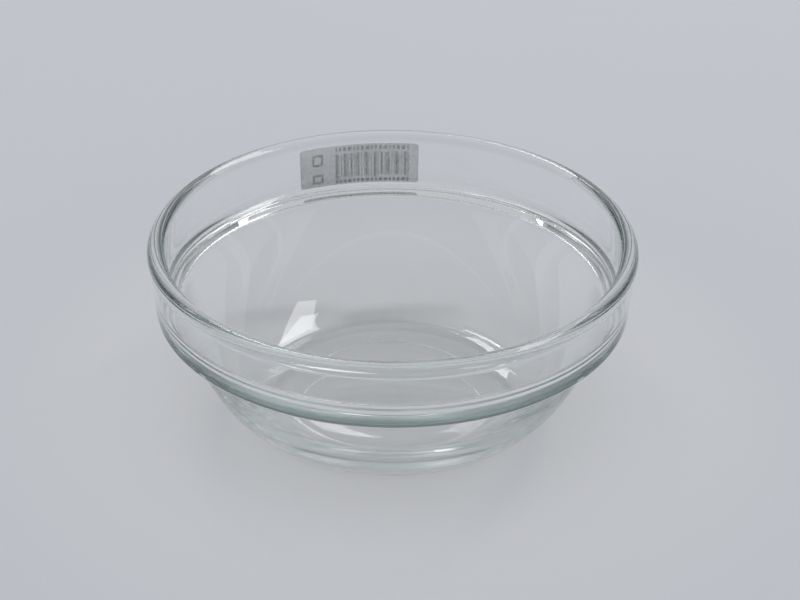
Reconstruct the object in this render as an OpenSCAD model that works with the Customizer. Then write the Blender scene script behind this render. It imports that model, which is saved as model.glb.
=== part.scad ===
// A clear glass bowl for preparing food, pressed in one piece: a rounded lip, a straight band,
// a flat stacking ledge under the band, and a rounded body on a foot ring round a shallow hollow.
// A thin printed label is stuck on the back of the band, and its print faces outwards.
// Lengths are in millimetres. The bowl stands on z = 0 round the Z axis, and the label is at +Y.

/* [Overall] */
// Outer diameter at the lip
rim_d = 170; // [150:1:220]
// Height from the table to the top of the lip
bowl_h = 66; // [56:1:90]
// Diameter of the ring that touches the table
foot_d = 88; // [70:1:110]

/* [Lip and band] */
// Thickness of the rounded lip
lip_thick = 6.3; // [5:0.1:8]
// How far the outside of the band sits in from the lip
band_inset = 0.6; // [0.2:0.1:1.2]
// Depth of the ledge's underside below the top of the lip
band_depth = 24.8; // [18:0.1:32]
// How far the outside of the band draws in on its way down
band_taper_w = 1.8; // [0.4:0.1:3]
// How far the inside of the band draws in on its way down
wall_taper_w = 0.3; // [0:0.1:1]
// Width of the ledge's underside, from the band to the body
ledge_w = 6.1; // [4:0.1:8]
// Radius on the ledge's outer edge
ledge_edge_r = 1.2; // [0.5:0.1:2]
// Radius where the ledge meets the body
ledge_fillet_r = 1.8; // [0.8:0.1:2.4]

/* [Shoulder inside] */
// Height of the shoulder's outer end above the ledge's underside
shoulder_rise = 6; // [5:0.1:9]
// How far the shoulder falls on its way in
shoulder_fall = 1.4; // [0.4:0.1:2.5]
// Radius where the band's wall meets the shoulder
shoulder_fillet_r = 4.8; // [1:0.1:5.2]
// Radius on the shoulder's inner edge
shoulder_edge_r = 0.4; // [0.2:0.1:1]

/* [Body] */
// Wall thickness of the body under the ledge
body_wall = 3.1; // [2.5:0.1:5.5]
// Thickness of the base
base_thick = 5; // [3.5:0.1:8]
// Diameter of the flat floor inside
floor_d = 72; // [50:1:96]
// Lean of the body's side under the ledge, in degrees from upright
side_lean = 19; // [10:1:30]
// Lean of the body's inside under the shoulder, in degrees from upright
inner_lean = 22.5; // [12:0.5:32]
// Diameter of the hollow under the base
hollow_d = 63.2; // [40:0.1:68]
// Depth of the hollow under the base
hollow_depth = 0.6; // [0.3:0.1:1.5]
// Width of the slope round the hollow
hollow_slope = 0.5; // [0.2:0.1:1]

/* [Label] */
// Length of the label round the band
label_w = 47.5; // [30:0.1:60]
// Bare glass left above and below the label
label_margin = 0.4; // [0.2:0.1:2]
// Where the middle of the label is, in degrees round the bowl from +X
label_at = 99.7; // [60:0.1:120]
// Radius of the label's corners
label_corner_r = 1.5; // [0.5:0.1:3]
// Thickness of the adhesive
adhesive_thick = 0.05; // [0.03:0.01:0.1]
// Thickness of the film that carries the print
film_thick = 0.1; // [0.06:0.01:0.2]
// Thickness of the ink
ink_thick = 0.03; // [0.02:0.01:0.05]
// Length of the row of bars round the band
bars_w = 29; // [18:0.1:34]
// Bare film between the bars and the end of the label
bars_margin = 3.8; // [2:0.1:6]

/* [Hidden] */
$fn = 180;
clear_glass = [0.86, 0.93, 0.91, 0.35];
adhesive_grey = [0.80, 0.81, 0.80];
film_grey = [0.66, 0.67, 0.67];
ink_black = [0.16, 0.16, 0.17];
// Degrees between the points of a rounded corner, and points along each side of the body
corner_step = 6;
side_points = 24;
// Where the body's curve leaves the foot and the ledge, as shares of its width and height
heel_share = 0.46;
side_share = 0.57;
// The same for the curve of the inside
floor_heel_share = 0.55;
inner_side_share = 0.60;

rim_r = rim_d / 2;
foot_r = foot_d / 2;
floor_r = floor_d / 2;
hollow_r = hollow_d / 2;
lip_r = lip_thick / 2;
lip_centre = [rim_r - lip_r, bowl_h - lip_r];
ledge_z = bowl_h - band_depth;
band_top_r = rim_r - band_inset;
band_low_r = band_top_r - band_taper_w;
// Height at which the outside of the band runs into the lip
band_top_z = lip_centre[1] - sqrt(pow(lip_r, 2) - pow(lip_r - band_inset, 2));
ledge_outer = [band_low_r, ledge_z];
ledge_inner = [band_low_r - ledge_w, ledge_z];
shoulder_outer = [rim_r - lip_thick - wall_taper_w, ledge_z + shoulder_rise];
shoulder_edge_z = shoulder_outer[1] - shoulder_fall;
// The inside leans out from a wall's thickness inside the corner under the ledge
shoulder_edge = [ledge_inner[0] - body_wall / cos(inner_lean)
                 + (shoulder_edge_z - ledge_z) * tan(inner_lean), shoulder_edge_z];

function unit(way) = way / norm(way);
function turn_of(way) = atan2(way[1], way[0]);
function way_up(lean) = [sin(lean), cos(lean)];
function on_circle(centre, r, turn) = centre + r * [cos(turn), sin(turn)];

// Points along an arc, both ends included
function arc(centre, r, from, to) =
    let (steps = max(1, ceil(abs(to - from) / corner_step)))
    [for (i = [0 : steps]) on_circle(centre, r, from + (to - from) * i / steps)];

// How far along its two sides a corner's rounding reaches
function round_reach(before, corner, after, r) =
    r / tan(acos(unit(before - corner) * unit(after - corner)) / 2);

// The arc that rounds a corner between the points before and after it
function rounded(before, corner, after, r) =
    let (back = unit(before - corner), on = unit(after - corner),
         reach = round_reach(before, corner, after, r),
         centre = corner + unit(back + on) * norm([r, reach]),
         from = turn_of(corner + back * reach - centre),
         sweep = (180 - acos(back * on)) * sign(cross(on, back)))
    arc(centre, r, from, from + sweep);

// Points along a smooth side: it leaves a flat floor at from and arrives at to with a lean
function side_curve(from, to, lean, floor_share, lean_share) =
    let (from_pull = from + [(to[0] - from[0]) * floor_share, 0],
         to_pull = to - way_up(lean) * (to[1] - from[1]) * lean_share / cos(lean))
    [for (i = [0 : side_points]) let (t = i / side_points, s = 1 - t)
        pow(s, 3) * from + 3 * pow(s, 2) * t * from_pull + 3 * s * pow(t, 2) * to_pull
        + pow(t, 3) * to];

function reversed(points) = [for (i = [len(points) - 1 : -1 : 0]) points[i]];

// Turn at which a line from the shoulder's outer end touches the inside of the lip
function lip_touch() =
    let (way = shoulder_outer - lip_centre) turn_of(way) + 360 - acos(lip_r / norm(way));

// Half of the bowl's section, from the hollow under the base round the outside to the floor
function bowl_outline() =
    let (side_way = way_up(side_lean),
         inner_way = way_up(inner_lean),
         under_ledge = ledge_inner - side_way,
         lip_side = [band_top_r, band_top_z],
         side_top = ledge_inner
             - side_way * round_reach(under_ledge, ledge_inner, ledge_outer, ledge_fillet_r),
         below_edge = shoulder_edge - inner_way,
         wall_top = shoulder_edge
             - inner_way * round_reach(shoulder_outer, shoulder_edge, below_edge, shoulder_edge_r),
         lip_from = turn_of(lip_side - lip_centre))
    concat(
        [[0, hollow_depth], [hollow_r, hollow_depth], [hollow_r + hollow_slope, 0]],
        side_curve([foot_r, 0], side_top, side_lean, heel_share, side_share),
        rounded(under_ledge, ledge_inner, ledge_outer, ledge_fillet_r),
        rounded(ledge_inner, ledge_outer, lip_side, ledge_edge_r),
        arc(lip_centre, lip_r, lip_from, lip_touch()),
        rounded(on_circle(lip_centre, lip_r, lip_touch()), shoulder_outer, shoulder_edge,
                shoulder_fillet_r),
        rounded(shoulder_outer, shoulder_edge, below_edge, shoulder_edge_r),
        reversed(side_curve([floor_r, base_thick], wall_top, inner_lean, floor_heel_share,
                            inner_side_share)),
        [[0, base_thick]]
    );

module bowl() {
    color(clear_glass) rotate_extrude() polygon(bowl_outline());
}

// Where the label's edges are
label_low = ledge_z + ledge_edge_r + label_margin;
label_high = band_top_z - label_margin;
label_h = label_high - label_low;
film_out = adhesive_thick + film_thick;
// Widest flat stretch of a patch, and points round its corners
flat_w = 1;
corner_points = 5;

// Radius of the outside of the band at a height, and a point off it at a length round the bowl,
// measured from the end of the label that has the bars
function band_r(z) = band_low_r + band_taper_w * (z - ledge_z) / (band_top_z - ledge_z);
function off_band(length, z, off) =
    let (turn = label_at + (length - label_w / 2) / band_top_r * 180 / PI)
    [(band_r(z) + off) * cos(turn), (band_r(z) + off) * sin(turn), z];

// Columns across a patch: the length at which each stands, and what its corners take off the ends
function patch_columns(length, corner_r) =
    let (flats = ceil((length - 2 * corner_r) / flat_w),
         corner = [for (i = [0 : corner_points - 1])
             let (turn = 90 * i / corner_points) corner_r * [1 - cos(turn), 1 - sin(turn)]],
         rounding = corner_r > 0 ? corner : [])
    concat(rounding,
           [for (i = [0 : flats]) [corner_r + (length - 2 * corner_r) * i / flats, 0]],
           [for (point = reversed(rounding)) [length - point[0], point[1]]]);

// A thin patch on the outside of the band, from one length to another, between two heights
// and two distances off the glass
module band_patch(from, to, low, high, inner, outer, corner_r = 0) {
    columns = patch_columns(to - from, corner_r);
    last = len(columns) - 1;
    points = [for (column = columns, edge = [[0, inner], [0, outer], [1, outer], [1, inner]])
        off_band(from + column[0], edge[0] == 0 ? low + column[1] : high - column[1], edge[1])];
    sides = [for (i = [0 : last - 1], k = [0 : 3])
        let (a = 4 * i + k, b = 4 * i + (k + 1) % 4)
        each [[a, a + 4, b + 4], [a, b + 4, b]]];
    ends = [[for (k = [0 : 3]) k], [for (k = [3 : -1 : 0]) 4 * last + k]];
    polyhedron(points, concat(sides, ends));
}

module label_adhesive() {
    color(adhesive_grey)
        band_patch(0, label_w, label_low, label_high, 0, adhesive_thick, label_corner_r);
}

module label_film() {
    color(film_grey)
        band_patch(0, label_w, label_low, label_high, adhesive_thick, film_out, label_corner_r);
}

// A made-up row of bars: each bar's width and the gap after it, in units that fill the row
BARS = 30;
function bar_units(i) = 1 + (i * i + 2 * i) % 3;
function gap_units(i) = 1 + (3 * i * i + i) % 4 % 3;
function units_before(i) = i == 0 ? 0 : units_before(i - 1) + bar_units(i - 1) + gap_units(i - 1);
bar_unit = bars_w / (units_before(BARS) - gap_units(BARS - 1));
// The two bars at each end and in the middle are longer
function is_long(i) = i < 2 || i > BARS - 3 || abs(i - (BARS - 1) / 2) < 1;

// Heights of what is printed, as shares of the label's height from its lower edge
bar_low_share = 0.24;
long_bar_low_share = 0.19;
bar_high_share = 0.80;
// Rows of small plain blocks where a label has its lettering
block_row_shares = [[0.05, 0.15], [0.86, 0.95]];
// Blocks in a row, each block's width and the gap after it, in units that fill the row
BLOCKS = 17;
function block_units(i) = 3 + (2 * i * i + i) % 4;
block_gap_units = 3;
function block_units_before(i) =
    i == 0 ? 0 : block_units_before(i - 1) + block_units(i - 1) + block_gap_units;
block_unit = bars_w / (block_units_before(BLOCKS) - block_gap_units);
// Two plain square frames beside the bars, and the gap between the strips of a frame
mark_shares = [[0.12, 0.38], [0.58, 0.84]];
mark_w = 4.4;
mark_line_w = 0.8;
mark_line_share = 0.045;
mark_gap = 0.1;

// Ink between two lengths along the label and two shares of its height
module ink(from, to, low_share, high_share) {
    band_patch(from, to, label_low + label_h * low_share, label_low + label_h * high_share,
               film_out, film_out + ink_thick);
}

module frame_mark(low_share, high_share) {
    from = (bars_margin + bars_w + label_w - mark_w) / 2;
    to = from + mark_w;
    inner = mark_line_w + mark_gap;
    ink(from, from + mark_line_w, low_share, high_share);
    ink(to - mark_line_w, to, low_share, high_share);
    ink(from + inner, to - inner, low_share, low_share + mark_line_share);
    ink(from + inner, to - inner, high_share - mark_line_share, high_share);
}

module label_print() {
    color(ink_black) {
        for (i = [0 : BARS - 1]) {
            from = bars_margin + units_before(i) * bar_unit;
            ink(from, from + bar_units(i) * bar_unit,
                is_long(i) ? long_bar_low_share : bar_low_share, bar_high_share);
        }
        for (row = block_row_shares, i = [0 : BLOCKS - 1]) {
            from = bars_margin + block_units_before(i) * block_unit;
            ink(from, from + block_units(i) * block_unit, row[0], row[1]);
        }
        for (mark = mark_shares) frame_mark(mark[0], mark[1]);
    }
}

bowl();
label_adhesive();
label_film();
label_print();
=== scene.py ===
"""A clear pressed-glass prep bowl, standing on a pale table, with a small label on the back of its band.

Sizes are the ones of the CAD source, in millimetres. Every piece is made at its place, in metres.
"""
import math

import bpy
from mathutils import Matrix, Vector


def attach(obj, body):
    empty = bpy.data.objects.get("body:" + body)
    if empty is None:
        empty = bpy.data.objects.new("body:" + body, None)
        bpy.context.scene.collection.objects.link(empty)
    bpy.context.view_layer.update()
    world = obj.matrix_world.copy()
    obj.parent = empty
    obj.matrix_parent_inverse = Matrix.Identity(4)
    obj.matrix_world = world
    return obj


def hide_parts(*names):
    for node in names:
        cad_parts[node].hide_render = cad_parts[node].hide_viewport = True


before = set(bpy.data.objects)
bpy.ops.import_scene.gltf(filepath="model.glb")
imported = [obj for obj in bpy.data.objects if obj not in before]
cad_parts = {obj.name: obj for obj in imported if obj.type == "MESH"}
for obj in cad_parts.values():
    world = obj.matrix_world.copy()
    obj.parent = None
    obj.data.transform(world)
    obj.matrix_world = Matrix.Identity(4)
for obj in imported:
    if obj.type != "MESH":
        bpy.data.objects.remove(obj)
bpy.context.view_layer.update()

# A millimetre in metres
MM = 0.001

# Sizes of the bowl
RIM_R = 85.0
BOWL_H = 66.0
FOOT_R = 44.0
LIP_R = 3.15
BAND_INSET = 0.6
BAND_DEPTH = 24.8
BAND_TAPER = 1.8
WALL_TAPER = 0.3
LEDGE_W = 6.1
LEDGE_EDGE_R = 1.2
LEDGE_FILLET_R = 1.8
SHOULDER_RISE = 6.0
SHOULDER_FALL = 1.4
SHOULDER_FILLET_R = 4.8
SHOULDER_EDGE_R = 0.4
BODY_WALL = 3.1
BASE_THICK = 5.0
SIDE_LEAN = math.radians(19)
INNER_LEAN = math.radians(22.5)
HOLLOW_R = 31.6
HOLLOW_DEPTH = 0.6
HOLLOW_SLOPE = 0.5
HEEL_SHARE = 0.46
SIDE_SHARE = 0.57
FLOOR_R = 36.0
FLOOR_HEEL_SHARE = 0.55
INNER_SIDE_SHARE = 0.60

LEDGE_Z = BOWL_H - BAND_DEPTH
LIP_CENTRE = Vector((RIM_R - LIP_R, BOWL_H - LIP_R))
BAND_TOP_R = RIM_R - BAND_INSET
BAND_LOW_R = BAND_TOP_R - BAND_TAPER
BAND_TOP_Z = LIP_CENTRE.y - math.sqrt(LIP_R ** 2 - (LIP_R - BAND_INSET) ** 2)

# How finely the bowl's rounds are divided
ROUND_STEPS = 480
CURVE_STEP = math.radians(7.5)
SIDE_POINTS = 48
# Shorter steps of the outline are left out, and longer flats get a point near each end
LEAST_STEP = 0.02
SUPPORT_LEAST = 1.6
SUPPORT_NEAR = 0.12
# Faces that meet at less than this are shaded as one round
BOWL_SMOOTH = math.radians(60)
LABEL_SMOOTH = math.radians(30)
# Points nearer than this, in metres, are merged
WELD = 1e-7
PATCH_WELD = 1e-8

# Sizes of the label
LABEL_W = 47.5
LABEL_AT = math.radians(99.7)
LABEL_MARGIN = 0.4
LABEL_LOW = LEDGE_Z + LEDGE_EDGE_R + LABEL_MARGIN
LABEL_HIGH = BAND_TOP_Z - LABEL_MARGIN
LABEL_H = LABEL_HIGH - LABEL_LOW
LABEL_CORNER_R = 1.5
CORNER_SEGMENTS = 6
CORNER_STRIP_SHARE = 1.1
CORNER_SLACK = 1e-4
PATCH_FLAT_W = 0.8
ADHESIVE_THICK = 0.05
FILM_THICK = 0.1
INK_THICK = 0.03
# The label's layers keep this far from each other and from the glass, or reach this far into each other
HAIR = 0.006

# The label's print: a row of bars, two rows of blocks and two marks. Shares are of the label's height
BARS = 30
BARS_W = 29.0
BARS_MARGIN = 3.8
BAR_LOW_SHARE = 0.24
LONG_BAR_LOW_SHARE = 0.19
BAR_HIGH_SHARE = 0.80
BLOCKS = 17
BLOCK_GAP_UNITS = 3
BLOCK_ROW_SHARES = ((0.05, 0.15), (0.86, 0.95))
MARK_W = 4.4
MARK_LINE_W = 0.8
MARK_LINE_SHARE = 0.045
MARK_GAP = 0.1
MARK_SHARES = ((0.12, 0.38), (0.58, 0.84))

# Painted shade: a dark green rim painted into the glass's colour over the ledge, for the dark that the
# thick glass shows there, and the heights and radii between which it grows to its full tint
PAINTED_RIM_SHADE = (0.32, 0.44, 0.42)
RIM_SHADE_FROM_BELOW = (LEDGE_Z + 0.8, LEDGE_Z + 1.8)
RIM_SHADE_FROM_ABOVE = (LEDGE_Z + 4.6, LEDGE_Z + 3.4)
RIM_SHADE_FROM_INSIDE = (BAND_LOW_R - 3.6, BAND_LOW_R - 3.1)

# The table's width is in metres, and its gap under the bowl in millimetres
TABLE_W = 8
TABLE_GAP = 0.05

# Lamps stand this many metres from the bowl
LAMP_DISTANCE = 4
# Strips fade between these two numbers of reflections inside the glass, and end this faint
FADING_TURNS = (1, 3)
FADED = 0.12

# Plain light from all round, and a room for the glass that is dark low down and light towards ROOM_WAY
PLAIN_LEVEL = (0.50, 0.513, 0.54)
ROOM_WAY = (0, 0.25, 0.97)
ROOM_REACH = (0.38, 0.92)
ROOM_LOW = (0.04, 0.042, 0.045)
ROOM_OVERHEAD = (0.62, 0.63, 0.65)

# Turns that light may take inside the glass. With fewer, parts of it would turn black
LIGHT_TURNS = 64


# The bowl's section
def turned(turn):
    """The way at a turn, one long."""
    return Vector((math.cos(turn), math.sin(turn)))


def leaning(lean):
    """The way up a side that leans outwards, one long."""
    return Vector((math.sin(lean), math.cos(lean)))


def turn_of(way):
    return math.atan2(way.y, way.x)


def arc(centre, r, start, end):
    """Points along an arc, both ends included."""
    steps = max(1, math.ceil(abs(end - start) / CURVE_STEP))
    return [centre + r * turned(start + (end - start) * i / steps) for i in range(steps + 1)]


def round_reach(before, corner, after, r):
    """How far along its two sides a corner's rounding reaches."""
    return r / math.tan((before - corner).angle(after - corner) / 2)


def rounded(before, corner, after, r):
    """The arc that rounds a corner."""
    back, on = (before - corner).normalized(), (after - corner).normalized()
    reach = round_reach(before, corner, after, r)
    centre = corner + (back + on).normalized() * math.hypot(r, reach)
    start = turn_of(corner + back * reach - centre)
    sweep = math.pi - back.angle(on)
    if on.x * back.y - on.y * back.x < 0:
        sweep = -sweep
    return arc(centre, r, start, start + sweep)


def side_curve(start, end, lean, floor_share, lean_share):
    """A smooth side that leaves a flat floor and arrives with a lean."""
    first_pull = start + Vector(((end.x - start.x) * floor_share, 0))
    last_pull = end - leaning(lean) * (end.y - start.y) * lean_share / math.cos(lean)
    points = []
    for i in range(SIDE_POINTS + 1):
        t = i / SIDE_POINTS
        s = 1 - t
        near_start = s ** 3 * start + 3 * s * s * t * first_pull
        points.append(near_start + 3 * s * t * t * last_pull + t ** 3 * end)
    return points


def with_support(points):
    """The outline with points near the ends of its long flats, so that shading turns only at rounds."""
    out = [points[0]]
    for a, b in zip(points, points[1:]):
        length = (b - a).length
        if length < LEAST_STEP:
            continue
        if length > SUPPORT_LEAST:
            out += [a.lerp(b, SUPPORT_NEAR / length), a.lerp(b, 1 - SUPPORT_NEAR / length)]
        out.append(b)
    return out


def bowl_outline():
    """Half of the bowl's section, from the hollow under the base round the outside to the floor."""
    ledge_outer = Vector((BAND_LOW_R, LEDGE_Z))
    ledge_inner = Vector((BAND_LOW_R - LEDGE_W, LEDGE_Z))
    shoulder_outer = Vector((RIM_R - 2 * LIP_R - WALL_TAPER, LEDGE_Z + SHOULDER_RISE))
    edge_z = shoulder_outer.y - SHOULDER_FALL
    edge_r = ledge_inner.x - BODY_WALL / math.cos(INNER_LEAN) + (edge_z - LEDGE_Z) * math.tan(INNER_LEAN)
    shoulder_edge = Vector((edge_r, edge_z))
    lip_side = Vector((BAND_TOP_R, BAND_TOP_Z))
    under_ledge = ledge_inner - leaning(SIDE_LEAN)
    below_edge = shoulder_edge - leaning(INNER_LEAN)
    ledge_reach = round_reach(under_ledge, ledge_inner, ledge_outer, LEDGE_FILLET_R)
    side_top = ledge_inner - leaning(SIDE_LEAN) * ledge_reach
    edge_reach = round_reach(shoulder_outer, shoulder_edge, below_edge, SHOULDER_EDGE_R)
    wall_top = shoulder_edge - leaning(INNER_LEAN) * edge_reach
    wall_way = shoulder_outer - LIP_CENTRE
    touch = turn_of(wall_way) + math.tau - math.acos(LIP_R / wall_way.length)
    floor_edge = Vector((FLOOR_R, BASE_THICK))
    inner_side = side_curve(floor_edge, wall_top, INNER_LEAN, FLOOR_HEEL_SHARE, INNER_SIDE_SHARE)

    points = [Vector((0, HOLLOW_DEPTH)), Vector((HOLLOW_R, HOLLOW_DEPTH))]
    points.append(Vector((HOLLOW_R + HOLLOW_SLOPE, 0)))
    points += side_curve(Vector((FOOT_R, 0)), side_top, SIDE_LEAN, HEEL_SHARE, SIDE_SHARE)
    points += rounded(under_ledge, ledge_inner, ledge_outer, LEDGE_FILLET_R)
    points += rounded(ledge_inner, ledge_outer, lip_side, LEDGE_EDGE_R)
    points += arc(LIP_CENTRE, LIP_R, turn_of(lip_side - LIP_CENTRE), touch)
    points += rounded(LIP_CENTRE + LIP_R * turned(touch), shoulder_outer, shoulder_edge, SHOULDER_FILLET_R)
    points += rounded(shoulder_outer, shoulder_edge, below_edge, SHOULDER_EDGE_R)
    points += inner_side[::-1]
    points.append(Vector((0, BASE_THICK)))
    return with_support(points)


# Modelling
def start_piece(name):
    """A fresh piece in edit mode: a plane merged into one selected point at the middle."""
    bpy.ops.object.select_all(action="DESELECT")
    bpy.ops.mesh.primitive_plane_add(size=1, location=(0, 0, 0))
    piece = bpy.context.object
    piece.name = piece.data.name = name
    bpy.ops.object.mode_set(mode="EDIT")
    bpy.ops.mesh.select_all(action="SELECT")
    bpy.ops.mesh.merge(type="CENTER")
    return piece


def move_by(x, y, z):
    bpy.ops.transform.translate(value=(x, y, z))


def extrude_by(x, y, z):
    bpy.ops.mesh.extrude_region_move(TRANSFORM_OT_translate={"value": (x, y, z)})


def spin_by(steps, turn, closes=False):
    """Spins what is selected round the bowl's axis."""
    bpy.ops.mesh.spin(steps=steps, angle=turn, center=(0, 0, 0), axis=(0, 0, 1), use_auto_merge=closes)


def end_piece(piece, smooth_angle):
    """Merges what meets, turns the faces outwards and leaves edit mode."""
    bpy.ops.mesh.select_all(action="SELECT")
    bpy.ops.mesh.remove_doubles(threshold=WELD)
    bpy.ops.mesh.normals_make_consistent(inside=False)
    bpy.ops.object.mode_set(mode="OBJECT")
    bpy.ops.object.shade_smooth_by_angle(angle=smooth_angle)
    return piece


def press_bowl():
    """The outline drawn point by point, then spun once round the bowl's axis."""
    piece = start_piece("pressed_bowl")
    outline = bowl_outline()
    move_by(outline[0].x * MM, 0, outline[0].y * MM)
    for at, point in zip(outline, outline[1:]):
        step = (point - at) * MM
        extrude_by(step.x, 0, step.y)
    bpy.ops.mesh.select_all(action="SELECT")
    spin_by(ROUND_STEPS, math.tau, closes=True)
    return end_piece(piece, BOWL_SMOOTH)


def band_r(z):
    """The band's outer radius at a height."""
    return BAND_LOW_R + BAND_TAPER * (z - LEDGE_Z) / (BAND_TOP_Z - LEDGE_Z)


def select_vertices(piece, is_wanted):
    """Leaves only the vertices at wanted places selected."""
    bpy.ops.mesh.select_all(action="DESELECT")
    bpy.ops.mesh.select_mode(type="VERT")
    bpy.ops.object.mode_set(mode="OBJECT")
    for vertex in piece.data.vertices:
        vertex.select = is_wanted(vertex.co)
    bpy.ops.object.mode_set(mode="EDIT")


def band_patch(name, start, end, low, high, inner, outer, corner_r=0.0):
    """A thin patch on the band: a line up its outside, spun along the label's length and thickened."""
    piece = start_piece(name)
    move_by((band_r(low) + inner) * MM, 0, low * MM)
    extrude_by((band_r(high) - band_r(low)) * MM, 0, (high - low) * MM)
    bpy.ops.mesh.select_all(action="SELECT")
    turn_per_mm = 1 / BAND_TOP_R
    end_w = corner_r * CORNER_STRIP_SHARE
    middle_w = end - start - 2 * end_w
    stages = [(middle_w, math.ceil(middle_w / PATCH_FLAT_W))]
    if corner_r:
        stages = [(end_w, 1), *stages, (end_w, 1)]
    for width, steps in stages:
        spin_by(steps, -width * turn_per_mm)
    bpy.ops.mesh.select_all(action="SELECT")
    bpy.ops.mesh.remove_doubles(threshold=PATCH_WELD)
    if corner_r:
        last_turn = (end - start) * turn_per_mm

        def is_corner(place):
            turn = math.atan2(place.y, place.x)
            return min(abs(turn), abs(turn - last_turn)) < CORNER_SLACK

        select_vertices(piece, is_corner)
        bpy.ops.mesh.bevel(offset=corner_r * MM, segments=CORNER_SEGMENTS, affect="VERTICES")
    end_piece(piece, LABEL_SMOOTH)
    thicken = piece.modifiers.new("thickness", "SOLIDIFY")
    thicken.thickness = (outer - inner) * MM
    thicken.offset = 1
    bpy.ops.object.modifier_apply(modifier=thicken.name)
    piece.rotation_euler.z = LABEL_AT + (start - LABEL_W / 2) * turn_per_mm
    bpy.ops.object.transform_apply(location=True, rotation=True, scale=True)
    return piece


def label_layer(name, inner, outer):
    """A layer as large as the label, between two distances from the glass."""
    return band_patch(name, 0, LABEL_W, LABEL_LOW, LABEL_HIGH, inner, outer, LABEL_CORNER_R)


def ink(start, end, low_share, high_share):
    """One printed rectangle on the film."""
    film_out = ADHESIVE_THICK + FILM_THICK
    low, high = LABEL_LOW + LABEL_H * low_share, LABEL_LOW + LABEL_H * high_share
    return band_patch("ink", start, end, low, high, film_out - HAIR, film_out + INK_THICK)


def joined(name, pieces):
    """Several pieces made one, with one name."""
    bpy.ops.object.select_all(action="DESELECT")
    for piece in pieces:
        piece.select_set(True)
    bpy.context.view_layer.objects.active = pieces[0]
    bpy.ops.object.join()
    pieces[0].name = pieces[0].data.name = name
    return pieces[0]


# Made-up widths of the bars, the gaps between them and the blocks, in units of their row
def bar_units(i):
    return 1 + (i * i + 2 * i) % 3


def gap_units(i):
    return 1 + (3 * i * i + i) % 4 % 3


def block_units(i):
    return 3 + (2 * i * i + i) % 4


def print_bars():
    """A row of bars of made-up widths. The first two, the middle two and the last two are longer."""
    row_units = sum(bar_units(i) + gap_units(i) for i in range(BARS)) - gap_units(BARS - 1)
    unit = BARS_W / row_units
    pieces = []
    at = BARS_MARGIN
    for i in range(BARS):
        is_long = i < 2 or i > BARS - 3 or abs(i - (BARS - 1) / 2) < 1
        width = bar_units(i) * unit
        low_share = LONG_BAR_LOW_SHARE if is_long else BAR_LOW_SHARE
        pieces.append(ink(at, at + width, low_share, BAR_HIGH_SHARE))
        at += width + gap_units(i) * unit
    return pieces


def print_blocks(low_share, high_share):
    """A row of plain blocks, where a label has its lettering."""
    unit = BARS_W / (sum(block_units(i) + BLOCK_GAP_UNITS for i in range(BLOCKS)) - BLOCK_GAP_UNITS)
    pieces = []
    at = BARS_MARGIN
    for i in range(BLOCKS):
        width = block_units(i) * unit
        pieces.append(ink(at, at + width, low_share, high_share))
        at += width + BLOCK_GAP_UNITS * unit
    return pieces


def print_mark(low_share, high_share):
    """A plain square frame beside the bars."""
    start = (BARS_MARGIN + BARS_W + LABEL_W - MARK_W) / 2
    end, inner = start + MARK_W, MARK_LINE_W + MARK_GAP
    return [
        ink(start, start + MARK_LINE_W, low_share, high_share),
        ink(end - MARK_LINE_W, end, low_share, high_share),
        ink(start + inner, end - inner, low_share, low_share + MARK_LINE_SHARE),
        ink(start + inner, end - inner, high_share - MARK_LINE_SHARE, high_share)]


def print_label():
    """Everything printed on the label, as one piece."""
    pieces = print_bars()
    for shares in BLOCK_ROW_SHARES:
        pieces += print_blocks(*shares)
    for shares in MARK_SHARES:
        pieces += print_mark(*shares)
    return joined("printed_ink", pieces)


# Helpers for finishes
def added(nodes, *kinds):
    """New nodes, in the order of their kinds."""
    return [nodes.new("ShaderNode" + kind) for kind in kinds]


def blended(nodes, links, factor, first, second):
    """A colour that goes from first to second with a factor. Each is a colour or a node's output."""
    # In a mix of colours, inputs 6 and 7 are the two colours and output 2 is the result
    mix = nodes.new("ShaderNodeMix")
    mix.data_type = "RGBA"
    links.new(factor, mix.inputs["Factor"])
    for given, socket in ((first, mix.inputs[6]), (second, mix.inputs[7])):
        if isinstance(given, tuple):
            socket.default_value = (*given, 1)
        else:
            links.new(given, socket)
    return mix.outputs[2]


def mapped(nodes, links, value, start, end, low=0, high=1):
    """A value that goes from low to high while the given one goes from start to end."""
    span = nodes.new("ShaderNodeMapRange")
    links.new(value, span.inputs["Value"])
    for name, number in (("From Min", start), ("From Max", end), ("To Min", low), ("To Max", high)):
        span.inputs[name].default_value = number
    return span.outputs["Result"]


def ranged(nodes, links, factor, low, high):
    """A value that goes from low to high with a factor."""
    return mapped(nodes, links, factor, 0, 1, low, high)


def counted(nodes, links, operation, *values):
    """What a Math node makes of two values. Each is a number or a node's output."""
    math_node = nodes.new("ShaderNodeMath")
    math_node.operation = operation
    for value, socket in zip(values, math_node.inputs):
        if isinstance(value, (int, float)):
            socket.default_value = value
        else:
            links.new(value, socket)
    return math_node.outputs["Value"]


def bumped(nodes, links, height, strength, distance):
    bump = nodes.new("ShaderNodeBump")
    bump.inputs["Strength"].default_value = strength
    bump.inputs["Distance"].default_value = distance
    links.new(height, bump.inputs["Height"])
    return bump.outputs["Normal"]


def new_finish(name):
    material = bpy.data.materials.new(name)
    material.use_nodes = True
    nodes, links = material.node_tree.nodes, material.node_tree.links
    return material, nodes, links, nodes["Principled BSDF"], nodes["Material Output"]


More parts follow.
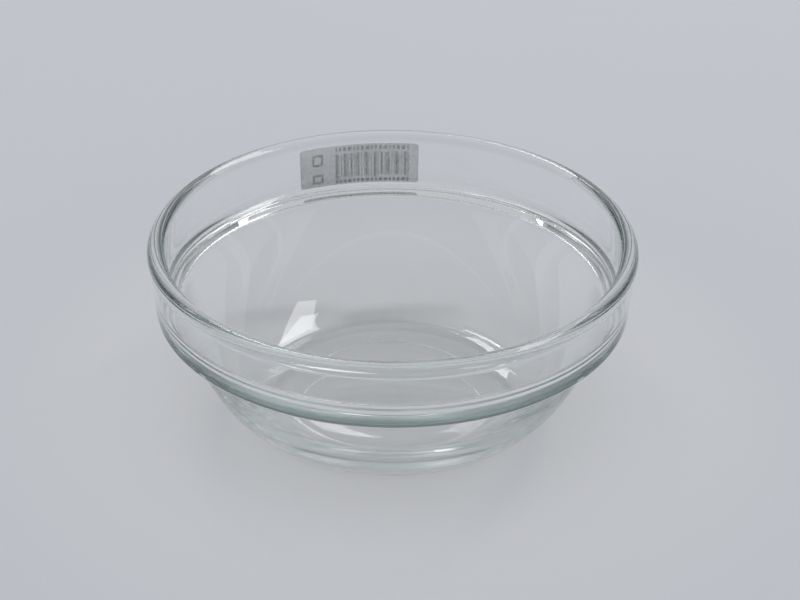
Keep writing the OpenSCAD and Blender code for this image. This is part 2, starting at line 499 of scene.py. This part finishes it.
def mottle_group():
    """Soft uneven patches over a surface, as a factor from 0 to 1 and a height."""
    group = bpy.data.node_groups.new("soft unevenness", "ShaderNodeTree")
    face = group.interface
    face.new_socket("Vector", in_out="INPUT", socket_type="NodeSocketVector")
    for name, value in (("Scale", 40.0), ("Low", 0.35), ("High", 0.65)):
        face.new_socket(name, in_out="INPUT", socket_type="NodeSocketFloat").default_value = value
    face.new_socket("Factor", in_out="OUTPUT", socket_type="NodeSocketFloat")
    face.new_socket("Height", in_out="OUTPUT", socket_type="NodeSocketFloat")
    nodes, links = group.nodes, group.links
    given, out = nodes.new("NodeGroupInput"), nodes.new("NodeGroupOutput")
    noise, span = added(nodes, "TexNoise", "MapRange")
    noise.inputs["Detail"].default_value = 3
    span.interpolation_type = "SMOOTHSTEP"
    links.new(given.outputs["Vector"], noise.inputs["Vector"])
    links.new(given.outputs["Scale"], noise.inputs["Scale"])
    links.new(noise.outputs["Fac"], span.inputs["Value"])
    links.new(given.outputs["Low"], span.inputs["From Min"])
    links.new(given.outputs["High"], span.inputs["From Max"])
    links.new(span.outputs["Result"], out.inputs["Factor"])
    links.new(noise.outputs["Fac"], out.inputs["Height"])
    return group


MOTTLE = mottle_group()


def add_mottle(nodes, links, scale, low=0.35, high=0.65):
    """Places the unevenness group on Object coordinates, and returns its factor and height."""
    place, mottle = added(nodes, "TexCoord", "Group")
    mottle.node_tree = MOTTLE
    links.new(place.outputs["Object"], mottle.inputs["Vector"])
    for name, number in (("Scale", scale), ("Low", low), ("High", high)):
        mottle.inputs[name].default_value = number
    return mottle.outputs["Factor"], mottle.outputs["Height"]


# Finishes
def painted_rim_shade(nodes, links):
    """The share of painted shade: one where light comes in through the outer wall just over the ledge, and
    none higher or lower.
    """
    place, parts, across, radius = added(nodes, "TexCoord", "SeparateXYZ", "CombineXYZ", "VectorMath")
    side = nodes.new("ShaderNodeNewGeometry")
    links.new(place.outputs["Object"], parts.inputs["Vector"])
    links.new(parts.outputs["X"], across.inputs["X"])
    links.new(parts.outputs["Y"], across.inputs["Y"])
    radius.operation = "LENGTH"
    links.new(across.outputs["Vector"], radius.inputs[0])
    share = ranged(nodes, links, side.outputs["Backfacing"], 1, 0)
    for source, (start, end) in (
            (parts.outputs["Z"], RIM_SHADE_FROM_BELOW),
            (parts.outputs["Z"], RIM_SHADE_FROM_ABOVE),
            (radius.outputs["Value"], RIM_SHADE_FROM_INSIDE)):
        reach = mapped(nodes, links, source, start * MM, end * MM)
        share = counted(nodes, links, "MULTIPLY", share, reach)
    return share


def clear_glass():
    """Pressed glass: green through its length, with dark green shade painted into its colour over its
    ledge, a little wavy, with a plain shadow.
    """
    material, nodes, links, shader, out = new_finish("clear pressed glass")
    shader.inputs["Transmission Weight"].default_value = 1
    shader.inputs["IOR"].default_value = 1.52
    shader.inputs["Roughness"].default_value = 0
    factor, height = add_mottle(nodes, links, 28)
    wall = blended(nodes, links, factor, (1, 1, 1), (0.985, 0.995, 0.99))
    # Painted shade: the glass's colour turns dark green over the ledge, where light comes in through the
    # outer wall
    with_painted_rim_shade = blended(nodes, links, painted_rim_shade(nodes, links), wall, PAINTED_RIM_SHADE)
    links.new(with_painted_rim_shade, shader.inputs["Base Color"])
    links.new(bumped(nodes, links, height, 0.003, 0.0006), shader.inputs["Normal"])
    depth, path, slant = added(nodes, "VolumeAbsorption", "LightPath", "LayerWeight")
    depth.inputs["Color"].default_value = (0.72, 0.84, 0.82, 1)
    depth.inputs["Density"].default_value = 3.5
    links.new(depth.outputs["Volume"], out.inputs["Volume"])
    clear, choice = added(nodes, "BsdfTransparent", "MixShader")
    edge = counted(nodes, links, "POWER", slant.outputs["Facing"], 5)
    shadow = blended(nodes, links, edge, (0.995, 0.997, 0.996), (0.78, 0.80, 0.79))
    links.new(shadow, clear.inputs["Color"])
    links.new(path.outputs["Is Shadow Ray"], choice.inputs["Fac"])
    links.new(shader.outputs["BSDF"], choice.inputs[1])
    links.new(clear.outputs["BSDF"], choice.inputs[2])
    links.new(choice.outputs["Shader"], out.inputs["Surface"])
    return material


def label_film():
    """Thin grey film that lets the print show through."""
    material, nodes, links, shader, _ = new_finish("grey label film")
    factor, height = add_mottle(nodes, links, 160)
    colour = blended(nodes, links, factor, (0.85, 0.845, 0.81), (0.92, 0.915, 0.88))
    links.new(colour, shader.inputs["Base Color"])
    links.new(ranged(nodes, links, factor, 0.34, 0.46), shader.inputs["Roughness"])
    links.new(ranged(nodes, links, factor, 0.24, 0.29), shader.inputs["Alpha"])
    links.new(bumped(nodes, links, height, 0.15, 0.0001), shader.inputs["Normal"])
    return material


def adhesive():
    """The layer of adhesive under the film, cloudy in places."""
    material, nodes, links, shader, _ = new_finish("clear adhesive")
    factor, _ = add_mottle(nodes, links, 90, 0.4, 0.7)
    colour = blended(nodes, links, factor, (0.42, 0.43, 0.43), (0.52, 0.53, 0.53))
    links.new(colour, shader.inputs["Base Color"])
    links.new(ranged(nodes, links, factor, 0.5, 0.6), shader.inputs["Roughness"])
    links.new(ranged(nodes, links, factor, 0.08, 0.14), shader.inputs["Alpha"])
    return material


def printing_ink():
    """Matt dark ink, a little thin in places."""
    material, nodes, links, shader, _ = new_finish("dark printing ink")
    factor, height = add_mottle(nodes, links, 900, 0.45, 0.7)
    colour = blended(nodes, links, factor, (0.018, 0.018, 0.020), (0.045, 0.045, 0.048))
    links.new(colour, shader.inputs["Base Color"])
    links.new(ranged(nodes, links, factor, 0.5, 0.65), shader.inputs["Roughness"])
    links.new(ranged(nodes, links, factor, 0.36, 0.26), shader.inputs["Alpha"])
    links.new(bumped(nodes, links, height, 0.2, 0.00005), shader.inputs["Normal"])
    return material


def table_top():
    """Pale seamless surface, hardly uneven, with a pool of light painted into its colour round the bowl,
    for the light that the glass gathers under itself.
    """
    material, nodes, links, shader, _ = new_finish("pale table")
    factor, _ = add_mottle(nodes, links, 2.5, 0.3, 0.7)
    place, radius = added(nodes, "TexCoord", "VectorMath")
    radius.operation = "LENGTH"
    links.new(place.outputs["Object"], radius.inputs[0])
    # Painted light: the table's colour is lighter within the rim's radius and fades to its plain colour by
    # twice that radius
    beyond_painted_pool = mapped(nodes, links, radius.outputs["Value"], RIM_R * MM, 2 * RIM_R * MM)
    beyond_painted_pool.node.interpolation_type = "SMOOTHSTEP"
    far = blended(nodes, links, factor, (0.595, 0.605, 0.630), (0.605, 0.615, 0.640))
    links.new(blended(nodes, links, beyond_painted_pool, (0.670, 0.676, 0.690), far), shader.inputs["Base Color"])
    shader.inputs["Roughness"].default_value = 0.9
    shader.inputs["Specular IOR Level"].default_value = 0.15
    return material


def place_on(piece, material, node):
    """Gives a new piece its finish, lets it ride on the bowl's body and stand for a CAD node."""
    piece.data.materials.clear()
    piece.data.materials.append(material)
    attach(piece, "root")
    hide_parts(node)


# Floor, light and camera
def make_floor():
    bpy.ops.object.select_all(action="DESELECT")
    bpy.ops.mesh.primitive_plane_add(size=TABLE_W, location=(0, 0, -TABLE_GAP * MM))
    floor = bpy.context.object
    floor.name = "floor"
    floor.data.materials.append(table_top())


def make_lamp(name, start, end, width, power):
    """A soft box that faces the bowl from a fixed distance, seen from it between two directions."""
    lamp = bpy.data.lights.new(name, "AREA")
    facing = (Vector(start) + Vector(end)).normalized()
    first, last = (Vector(way) * LAMP_DISTANCE / facing.dot(way) for way in (start, end))
    along = (last - first).normalized()
    lamp.shape = "RECTANGLE"
    lamp.size, lamp.size_y = (last - first).length, width
    lamp.energy = power
    holder = bpy.data.objects.new(name, lamp)
    bpy.context.collection.objects.link(holder)
    turning = Matrix((along, facing.cross(along), facing)).transposed().to_4x4()
    holder.matrix_world = Matrix.Translation((first + last) / 2) @ turning
    return lamp, holder


def make_key(*values):
    """Lights the table and the label, and casts the bowl's soft shadow. It doesn't show in the glass."""
    holder = make_lamp(*values)[1]
    holder.visible_glossy = False
    holder.visible_transmission = False


def make_strip(*values):
    """Shows in the glass, and fades after many turns inside it. The table gets its light from the keys."""
    lamp, holder = make_lamp(*values)
    holder.visible_diffuse = False
    lamp.use_nodes = True
    nodes, links = lamp.node_tree.nodes, lamp.node_tree.links
    path = nodes.new("ShaderNodeLightPath")
    direct = counted(nodes, links, "LESS_THAN", path.outputs["Diffuse Depth"], 0.5)
    fading = mapped(nodes, links, path.outputs["Glossy Depth"], *FADING_TURNS, 1, FADED)
    strength = counted(nodes, links, "MULTIPLY", direct, fading)
    links.new(strength, nodes["Emission"].inputs["Strength"])


def make_world():
    """Plain light from all round. The glass shows a room, light overhead and dark low down."""
    world = bpy.data.worlds.new("soft surround")
    world.use_nodes = True
    nodes, links = world.node_tree.nodes, world.node_tree.links
    place, path, facing = added(nodes, "TexCoord", "LightPath", "VectorMath")
    facing.operation = "DOT_PRODUCT"
    facing.inputs[1].default_value = ROOM_WAY
    links.new(place.outputs["Generated"], facing.inputs[0])
    height = mapped(nodes, links, facing.outputs["Value"], *ROOM_REACH)
    room = blended(nodes, links, height, ROOM_LOW, ROOM_OVERHEAD)
    plainly = counted(nodes, links, "MAXIMUM", path.outputs["Diffuse Depth"], path.outputs["Is Camera Ray"])
    level = blended(nodes, links, plainly, room, PLAIN_LEVEL)
    links.new(level, nodes["Background"].inputs["Color"])
    bpy.context.scene.world = world
    world.cycles.sampling_method = "NONE"


def make_camera():
    """Looks 31 degrees down at the rim, from about 0.76 m."""
    distance, down, roll = 762.8, math.radians(30.79), math.radians(0.595)
    aside, below = 2.43, 22.15
    ahead = Vector((0, math.cos(down), -math.sin(down)))
    across = Vector((1, 0, 0))
    above = across.cross(ahead)
    right = math.cos(roll) * across + math.sin(roll) * above
    up = math.cos(roll) * above - math.sin(roll) * across
    at = Vector((0, 0, BOWL_H)) - distance * ahead + aside * right - below * up
    lens = bpy.data.cameras.new("camera")
    lens.sensor_width = 36
    lens.lens = 99.1
    lens.clip_end = 50
    camera = bpy.data.objects.new("camera", lens)
    bpy.context.collection.objects.link(camera)
    turning = Matrix((right, up, -ahead)).transposed().to_4x4()
    camera.matrix_world = Matrix.Translation(at * MM) @ turning
    bpy.context.scene.camera = camera


make_camera()
make_world()
make_floor()
# Each lamp's name, the two directions between which it is seen, its width in metres and its watts
make_strip("strip left", (-0.33, 0.78, 1), (-0.10, 1.10, 1), 0.66, 13)
make_strip("strip right", (0.80, -0.10, 1), (0.22, 1.04, 1), 0.85, 45)
make_key("key left", (-0.40, 0.53, 1), (-0.26, 0.53, 1), 0.55, 33)
make_key("key right", (0.72, 0.60, 1), (0.58, 0.60, 1), 0.55, 39)

place_on(press_bowl(), clear_glass(), "bowl")
adhesive_layer = label_layer("adhesive_layer", HAIR, ADHESIVE_THICK)
place_on(adhesive_layer, adhesive(), "label_adhesive")
film_layer = label_layer("film_layer", ADHESIVE_THICK + HAIR, ADHESIVE_THICK + FILM_THICK)
place_on(film_layer, label_film(), "label_film")
place_on(print_label(), printing_ink(), "label_print")

scene = bpy.context.scene
scene.view_settings.view_transform = "Standard"
scene.cycles.max_bounces = LIGHT_TURNS
scene.cycles.transmission_bounces = LIGHT_TURNS
scene.cycles.glossy_bounces = LIGHT_TURNS
